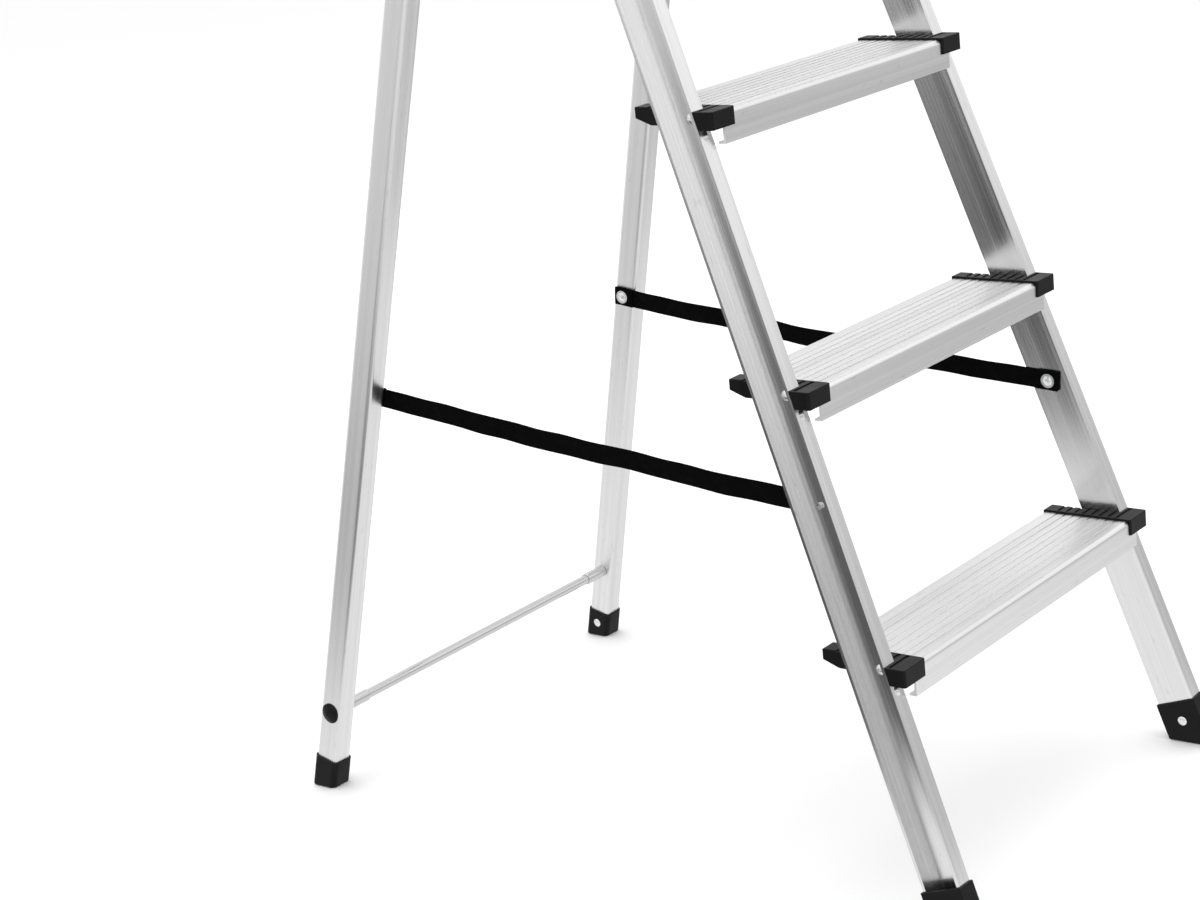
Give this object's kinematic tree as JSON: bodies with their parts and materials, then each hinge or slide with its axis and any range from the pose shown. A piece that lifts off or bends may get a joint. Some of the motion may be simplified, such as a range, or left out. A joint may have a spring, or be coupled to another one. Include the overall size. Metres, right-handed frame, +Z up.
{
  "type": "step ladder",
  "caption": "Folding aluminium step ladder with grooved treads in black end caps, a tilting platform, a hinged rear frame, webbing limiter straps and a top tool tray.",
  "frame": {"origin": "on the floor, in the middle of the footprint of the open ladder", "axes": "+Z up, -Y towards the climbing side, +X to the right of a person looking along +Y"},
  "size_m": [0.48, 0.7709, 1.721],
  "materials": {
    "frame_aluminium": "mill-finish extrusion, lightly brushed along its length",
    "tread_aluminium": "satin extrusion with grooves",
    "black_plastic": "moulded, fine grain",
    "bush_plastic": "moulded",
    "rivet_metal": "bright pressed head",
    "zinc_steel": "zinc plated",
    "strap_webbing": "woven polyester webbing"
  },
  "bodies": {
    "front_frame": {"left_stile": "frame_aluminium", "right_stile": "frame_aluminium", "tread_1": "tread_aluminium", "tread_2": "tread_aluminium", "tread_3": "tread_aluminium", "tread_4": "tread_aluminium", "tread_1_left_cap": "black_plastic", "tread_1_right_cap": "black_plastic", "tread_2_left_cap": "black_plastic", "tread_2_right_cap": "black_plastic", "tread_3_left_cap": "black_plastic", "tread_3_right_cap": "black_plastic", "tread_4_left_cap": "black_plastic", "tread_4_right_cap": "black_plastic", "tread_rivets": "rivet_metal", "left_front_foot": "black_plastic", "right_front_foot": "black_plastic", "front_foot_rivets": "rivet_metal", "left_hinge_plate": "zinc_steel", "right_hinge_plate": "zinc_steel", "left_hinge_cover": "black_plastic", "right_hinge_cover": "black_plastic", "hinge_rivets": "rivet_metal", "hinge_screws": "zinc_steel", "hinge_pins": "zinc_steel", "platform_pins": "zinc_steel", "strap_front_rivets": "rivet_metal", "strap_front_washers": "zinc_steel", "top_tray": "black_plastic", "tray_screws": "zinc_steel"},
    "rear_frame": {"left_rear_leg": "frame_aluminium", "right_rear_leg": "frame_aluminium", "left_leg_bush": "bush_plastic", "right_leg_bush": "bush_plastic", "lower_tie_bar": "zinc_steel", "upper_tie_bar": "zinc_steel", "bar_plugs": "black_plastic", "left_rear_foot": "black_plastic", "right_rear_foot": "black_plastic", "rear_foot_rivets": "rivet_metal", "strap_rear_rivets": "rivet_metal", "strap_rear_washers": "zinc_steel"},
    "platform": {"platform_deck": "tread_aluminium", "left_platform_cap": "black_plastic", "right_platform_cap": "black_plastic", "platform_hooks": "black_plastic"},
    "right_strap_front": {"right_strap_front": "strap_webbing"},
    "right_strap_rear": {"right_strap_rear": "strap_webbing"},
    "left_strap_front": {"left_strap_front": "strap_webbing"},
    "left_strap_rear": {"left_strap_rear": "strap_webbing"}
  },
  "joints": [
    {"name": "rear_frame_fold", "type": "hinge", "parent": "front_frame", "child": "rear_frame", "pos_m": [0, 0.07709, 1.161], "axis": [-1, 0, 0], "range_deg": [0, 33.42]},
    {"name": "platform_tilt", "type": "hinge", "parent": "front_frame", "child": "platform", "pos_m": [0, 0.03124, 1.134], "axis": [1, 0, 0], "range_deg": [0, 70.79]},
    {"name": "right_strap_front_swing", "type": "hinge", "parent": "front_frame", "child": "right_strap_front", "pos_m": [0.20012, -0.2386, 0.36], "axis": [-1, 0, 0], "range_deg": [0, 96.16], "deforming": ["right_strap_front"]},
    {"name": "right_strap_rear_fold", "type": "hinge", "parent": "right_strap_front", "child": "right_strap_rear", "pos_m": [0.19889, -0.02428, 0.38161], "axis": [1, 0, 0], "range_deg": [0, 168.07], "deforming": ["right_strap_rear"]},
    {"name": "left_strap_front_swing", "type": "hinge", "parent": "front_frame", "child": "left_strap_front", "pos_m": [-0.20012, -0.2386, 0.36], "axis": [-1, 0, 0], "range_deg": [0, 96.16], "deforming": ["left_strap_front"]},
    {"name": "left_strap_rear_fold", "type": "hinge", "parent": "left_strap_front", "child": "left_strap_rear", "pos_m": [-0.19889, -0.02428, 0.38161], "axis": [1, 0, 0], "range_deg": [0, 168.07], "deforming": ["left_strap_rear"]}
  ],
  "couplings": [
    {"joint": "platform_tilt", "follows": "rear_frame_fold", "ratio": 2.1179},
    {"joint": "right_strap_front_swing", "follows": "rear_frame_fold", "ratio": 2.8769},
    {"joint": "right_strap_rear_fold", "follows": "rear_frame_fold", "ratio": 5.0288},
    {"joint": "left_strap_front_swing", "follows": "rear_frame_fold", "ratio": 2.8769},
    {"joint": "left_strap_rear_fold", "follows": "rear_frame_fold", "ratio": 5.0288}
  ]
}
